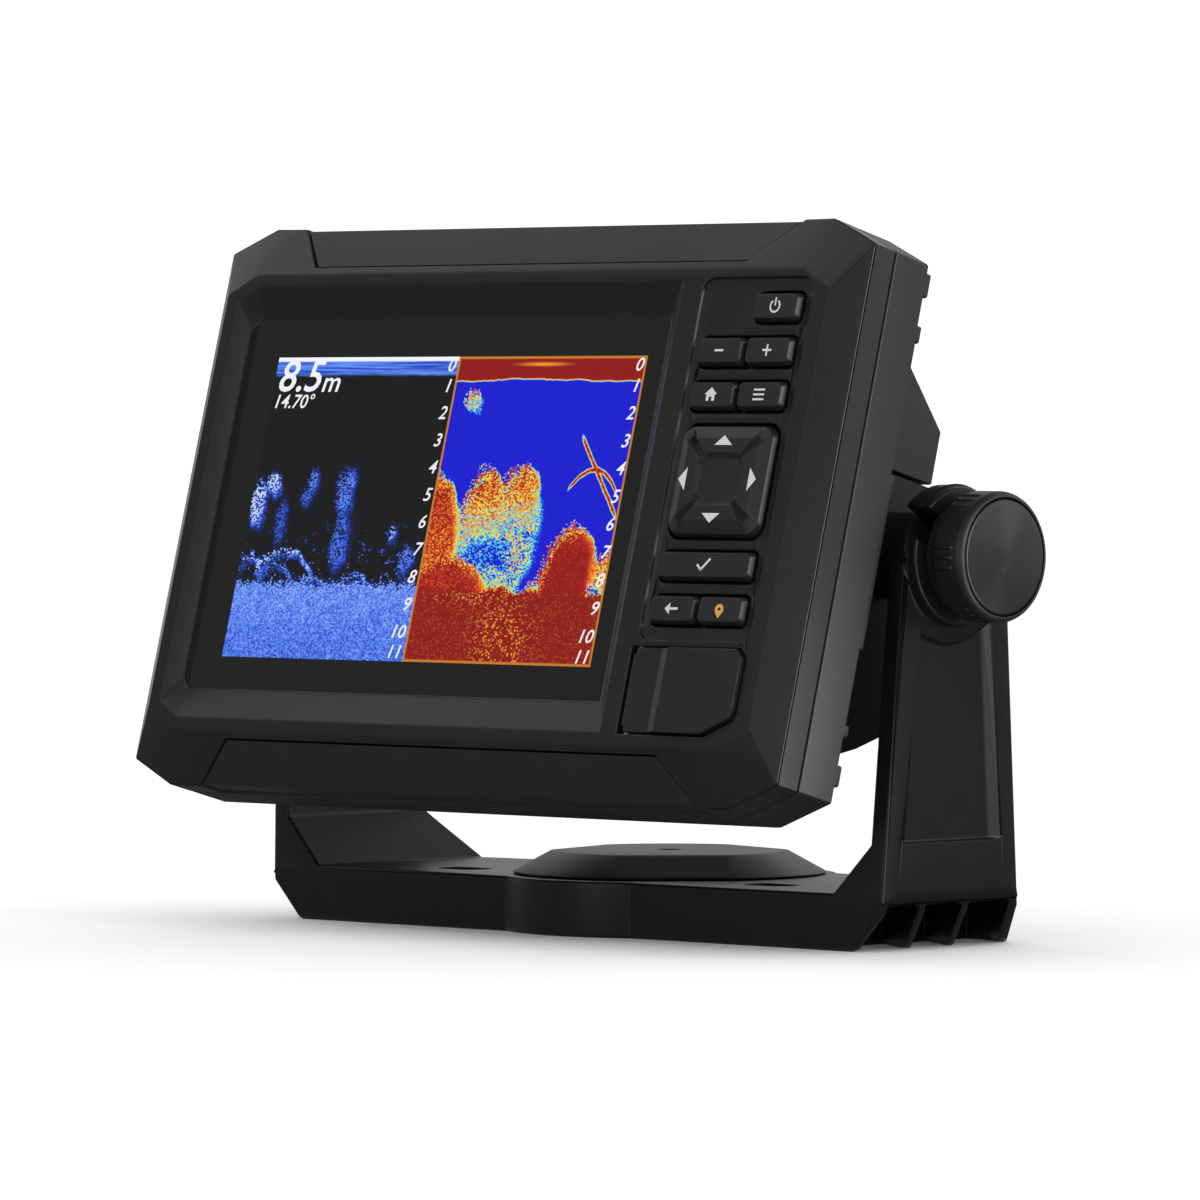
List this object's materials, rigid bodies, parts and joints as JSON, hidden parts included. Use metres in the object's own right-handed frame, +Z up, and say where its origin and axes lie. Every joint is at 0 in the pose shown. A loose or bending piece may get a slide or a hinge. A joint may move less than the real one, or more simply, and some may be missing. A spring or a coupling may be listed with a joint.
{
  "type": "fish finder",
  "caption": "Keyed sonar chartplotter head with wide screen, arrow pad and card door, in a quick-release cradle on a tilting bail with a swivel foot and two clamp knobs.",
  "frame": {"origin": "on the swivel axis, on the surface that the foot stands on", "axes": "+Z up along the deck screw, X across the display, -Y towards the user"},
  "size_m": [0.2108, 0.1048, 0.1466],
  "materials": {
    "bail_plastic": "fine moulded texture",
    "shell_plastic": "satin moulded",
    "trim_plastic": "satin moulded",
    "knob_plastic": "matte soft-touch",
    "key_plastic": "satin moulded",
    "screen_glass": "coated, bonded black border",
    "lcd": "lit display",
    "seal_rubber": "matte",
    "socket_plastic": "moulded",
    "silicone": "matte",
    "board": "solder-masked",
    "steel": "zinc plated",
    "brass": "machined",
    "ceramic": "glazed",
    "ribbon": "polyimide film",
    "washer_plastic": "acetal"
  },
  "bodies": {
    "swivel_hub": {"swivel_dome": "bail_plastic", "swivel_foot": "bail_plastic", "swivel_washer": "washer_plastic", "hub_screws": "steel"},
    "bail": {"bail_bracket": "bail_plastic"},
    "head": {"front_bezel": "shell_plastic", "top_trim": "trim_plastic", "bottom_trim": "trim_plastic", "housing_seal": "seal_rubber", "rear_housing": "shell_plastic", "housing_screws": "steel", "cover_glass": "screen_glass", "glass_gasket": "seal_rubber", "lcd_panel": "lcd", "lcd_frame": "steel", "display_ribbon": "ribbon", "keypad_membrane": "silicone", "keypad_board": "board", "main_board": "board", "board_screws": "steel", "shield_can": "steel", "gps_antenna": "ceramic", "sounder": "socket_plastic", "card_socket": "steel", "power_socket": "socket_plastic", "sonar_socket": "socket_plastic", "socket_pins": "brass", "breather_vent": "socket_plastic", "cradle": "bail_plastic", "cradle_inserts": "brass", "tilt_pads": "seal_rubber", "latch_pin": "steel", "latch_spring": "steel", "door_pin": "steel"},
    "knob_left": {"knob_left": "knob_plastic", "knob_cap_left": "knob_plastic", "knob_stud_left": "steel"},
    "knob_right": {"knob_right": "knob_plastic", "knob_cap_right": "knob_plastic", "knob_stud_right": "steel"},
    "card_door": {"card_door": "key_plastic"},
    "cradle_latch": {"cradle_latch": "trim_plastic"},
    "dpad_rocker": {"dpad_rocker": "silicone"},
    "dpad": {"dpad": "key_plastic"},
    "key_power": {"key_power": "key_plastic"},
    "key_minus": {"key_minus": "key_plastic"},
    "key_plus": {"key_plus": "key_plastic"},
    "key_home": {"key_home": "key_plastic"},
    "key_menu": {"key_menu": "key_plastic"},
    "key_select": {"key_select": "key_plastic"},
    "key_back": {"key_back": "key_plastic"},
    "key_mark": {"key_mark": "key_plastic"}
  },
  "joints": [
    {"name": "swivel", "type": "hinge", "parent": "swivel_hub", "child": "bail", "pos_m": [0, 0, 0], "axis": [0, 0, 1], "range_deg": [-90, 90]},
    {"name": "tilt", "type": "hinge", "parent": "bail", "child": "head", "pos_m": [0, -0.0125, 0.0791], "axis": [1, 0, 0], "range_deg": [-30, 17]},
    {"name": "knob_left_turn", "type": "hinge", "parent": "head", "child": "knob_left", "pos_m": [-0.1, -0.0125, 0.0791], "axis": [-1, 0, 0], "continuous": true},
    {"name": "knob_right_turn", "type": "hinge", "parent": "head", "child": "knob_right", "pos_m": [0.1, -0.0125, 0.0791], "axis": [1, 0, 0], "continuous": true},
    {"name": "card_door_hinge", "type": "hinge", "parent": "head", "child": "card_door", "pos_m": [0.0525, -0.06476, 0.05231], "axis": [0, -0.2588, -0.9659], "range_deg": [0, 95]},
    {"name": "latch_release", "type": "hinge", "parent": "head", "child": "cradle_latch", "pos_m": [0, -0.00645, 0.08121], "axis": [-1, 0, 0], "range_deg": [0, 12], "stiffness_Nm_per_rad": 0.12},
    {"name": "pad_up_down", "type": "hinge", "parent": "head", "child": "dpad_rocker", "pos_m": [0.0671, -0.05199, 0.09362], "axis": [1, 0, 0], "range_deg": [-2.5, 2.5], "stiffness_Nm_per_rad": 0.3},
    {"name": "pad_left_right", "type": "hinge", "parent": "dpad_rocker", "child": "dpad", "pos_m": [0.0671, -0.05199, 0.09362], "axis": [0, 0.2588, 0.9659], "range_deg": [-2.5, 2.5], "stiffness_Nm_per_rad": 0.3},
    {"name": "press_power", "type": "slide", "parent": "head", "child": "key_power", "axis": [0, 0.9659, -0.2588], "range_m": [0, 0.0007], "stiffness_N_per_m": 900},
    {"name": "press_minus", "type": "slide", "parent": "head", "child": "key_minus", "axis": [0, 0.9659, -0.2588], "range_m": [0, 0.0007], "stiffness_N_per_m": 900},
    {"name": "press_plus", "type": "slide", "parent": "head", "child": "key_plus", "axis": [0, 0.9659, -0.2588], "range_m": [0, 0.0007], "stiffness_N_per_m": 900},
    {"name": "press_home", "type": "slide", "parent": "head", "child": "key_home", "axis": [0, 0.9659, -0.2588], "range_m": [0, 0.0007], "stiffness_N_per_m": 900},
    {"name": "press_menu", "type": "slide", "parent": "head", "child": "key_menu", "axis": [0, 0.9659, -0.2588], "range_m": [0, 0.0007], "stiffness_N_per_m": 900},
    {"name": "press_select", "type": "slide", "parent": "head", "child": "key_select", "axis": [0, 0.9659, -0.2588], "range_m": [0, 0.0007], "stiffness_N_per_m": 900},
    {"name": "press_back", "type": "slide", "parent": "head", "child": "key_back", "axis": [0, 0.9659, -0.2588], "range_m": [0, 0.0007], "stiffness_N_per_m": 900},
    {"name": "press_mark", "type": "slide", "parent": "head", "child": "key_mark", "axis": [0, 0.9659, -0.2588], "range_m": [0, 0.0007], "stiffness_N_per_m": 900}
  ]
}
